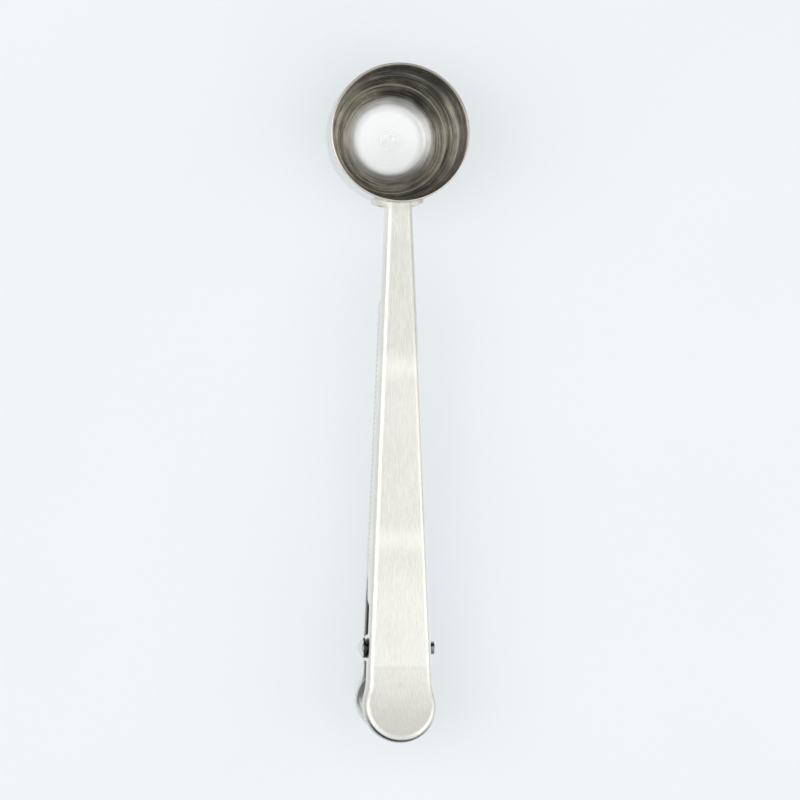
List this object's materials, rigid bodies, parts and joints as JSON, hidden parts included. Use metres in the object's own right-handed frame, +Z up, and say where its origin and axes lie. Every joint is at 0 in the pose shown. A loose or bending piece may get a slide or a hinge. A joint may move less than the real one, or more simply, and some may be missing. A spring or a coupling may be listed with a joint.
{
  "type": "measuring scoop",
  "caption": "Round steel measuring cup on a long tapered handle; the handle is the upper jaw of a spring clip with a hinged serrated lower jaw and rounded thumb tails.",
  "frame": {"origin": "middle of the cup's flat foot", "axes": "+Z up through the cup's mouth; the cup is at +Y and the handle runs towards -Y; +X is to the right with the cup at the top"},
  "size_m": [0.036, 0.1745, 0.0227],
  "materials": {
    "cup_steel": "drawn stainless steel, polished, with fine turned rings inside",
    "sheet_steel": "pressed stainless sheet, satin along its length",
    "rivet_steel": "polished",
    "spring_wire": "drawn spring wire"
  },
  "bodies": {
    "handle_assembly": {"scoop_cup": "cup_steel", "handle": "sheet_steel", "hinge_rivet": "rivet_steel", "torsion_spring": "spring_wire"},
    "lever": {"clip_lever": "sheet_steel"}
  },
  "joints": [
    {"name": "clip_hinge", "type": "hinge", "parent": "handle_assembly", "child": "lever", "pos_m": [0, -0.1321, 0.0162], "axis": [-1, 0, 0], "range_deg": [0, 38], "stiffness_Nm_per_rad": 0.46, "springref_deg": -34.38, "deforming": ["torsion_spring"]}
  ]
}
